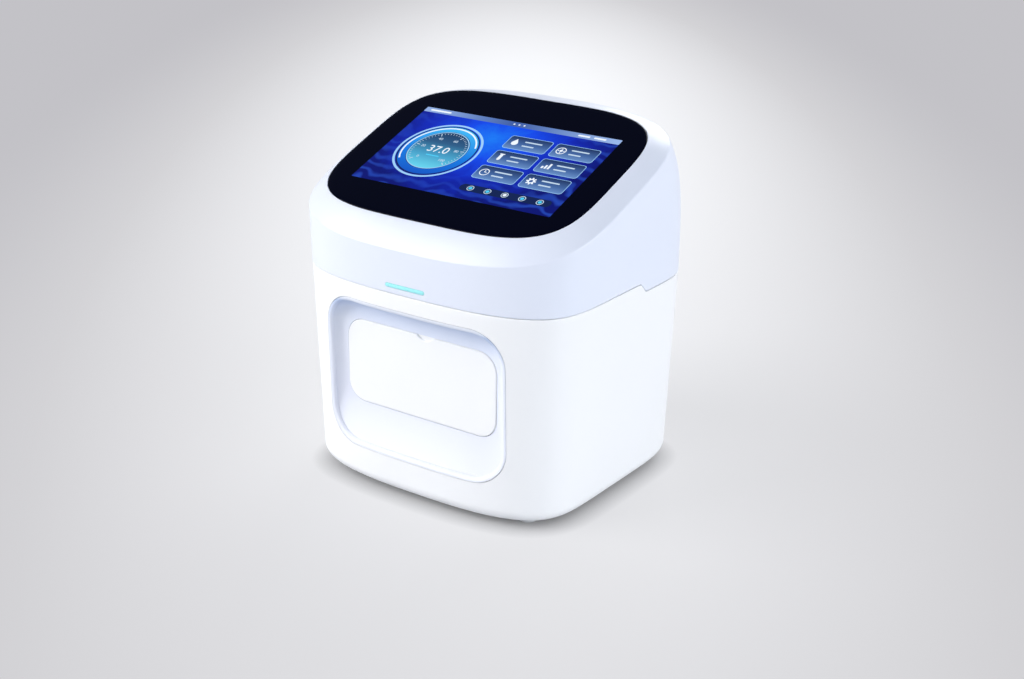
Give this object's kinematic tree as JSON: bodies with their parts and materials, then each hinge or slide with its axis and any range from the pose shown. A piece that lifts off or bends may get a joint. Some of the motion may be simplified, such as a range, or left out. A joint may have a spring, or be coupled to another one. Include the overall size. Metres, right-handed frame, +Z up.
{
  "type": "biochemistry analyzer",
  "caption": "Benchtop biochemistry analyzer with a hinged display lid and a motor-driven drawer that carries a disc turntable.",
  "frame": {"origin": "middle of the footprint, at table level under the feet", "axes": "+X to the right seen from the front, +Y to the rear, +Z up"},
  "size_m": [0.217, 0.192, 0.2372],
  "materials": {
    "white_shell": "fine satin",
    "pale_shell": "fine satin",
    "bezel_shell": "satin",
    "black_glass": "polished",
    "light_pipe": "gloss",
    "dark_plastic": "matt",
    "grey_plastic": "matt",
    "rubber": "matt",
    "sheet_steel": "plated",
    "bare_steel": "plain",
    "aluminium": "machined",
    "circuit_board": "solder mask",
    "natural_plastic": "moulded"
  },
  "bodies": {
    "base": {"lower_housing": "white_shell", "front_bezel": "bezel_shell", "rear_panel": "grey_plastic", "base_plate": "sheet_steel", "foot_front_left": "rubber", "foot_front_right": "rubber", "foot_rear_left": "rubber", "foot_rear_right": "rubber", "inner_frame": "sheet_steel", "inner_deck": "white_shell", "drawer_rail_left": "natural_plastic", "drawer_rail_right": "natural_plastic", "drawer_motor": "sheet_steel", "photometer_block": "aluminium", "lamp_housing": "aluminium", "detector_board": "circuit_board", "heater_plate": "aluminium", "main_board": "circuit_board", "power_supply": "sheet_steel", "fan_frame": "dark_plastic", "mains_inlet": "dark_plastic", "switch_frame": "dark_plastic", "usb_port_left": "bare_steel", "usb_port_right": "bare_steel", "network_port": "bare_steel", "hinge_bracket_left": "bare_steel", "hinge_bracket_right": "bare_steel"},
    "lid": {"upper_housing": "pale_shell", "touch_glass": "black_glass", "status_light": "light_pipe", "lid_liner": "white_shell", "lcd_module": "dark_plastic", "display_bracket": "sheet_steel", "display_board": "circuit_board", "speaker": "dark_plastic", "lid_hinge_left": "bare_steel", "hinge_pin_left": "bare_steel", "lid_hinge_right": "bare_steel", "hinge_pin_right": "bare_steel"},
    "drawer": {"drawer_front": "white_shell", "drawer_tray": "natural_plastic", "drawer_rack": "natural_plastic", "spindle_motor": "bare_steel"},
    "turntable": {"turntable": "natural_plastic", "turntable_knob": "dark_plastic"},
    "pinion": {"drawer_pinion": "natural_plastic"},
    "fan_rotor": {"fan_rotor": "dark_plastic"},
    "power_switch": {"power_switch": "dark_plastic"}
  },
  "joints": [
    {"name": "lid_hinge", "type": "hinge", "parent": "base", "child": "lid", "pos_m": [0, 0.08633, 0.1439], "axis": [-1, 0, 0], "range_deg": [0, 60]},
    {"name": "drawer_slide", "type": "slide", "parent": "base", "child": "drawer", "axis": [0, -1, 0], "range_m": [0, 0.105]},
    {"name": "pinion_spin", "type": "hinge", "parent": "base", "child": "pinion", "pos_m": [0.047, -0.0581, 0.05507], "axis": [1, 0, 0], "range_deg": [0, 690]},
    {"name": "turntable_spin", "type": "hinge", "parent": "drawer", "child": "turntable", "pos_m": [0, -0.0209, 0.0745], "axis": [0, 0, 1], "continuous": true},
    {"name": "fan_spin", "type": "hinge", "parent": "base", "child": "fan_rotor", "pos_m": [0.0262, 0.0778, 0.059], "axis": [0, 1, 0], "continuous": true},
    {"name": "switch_rock", "type": "hinge", "parent": "base", "child": "power_switch", "pos_m": [-0.0085, 0.0826, 0.0395], "axis": [-1, 0, 0], "range_deg": [0, 16]}
  ],
  "couplings": [
    {"joint": "pinion_spin", "follows": "drawer_slide", "rad_per_m": 114.29}
  ]
}
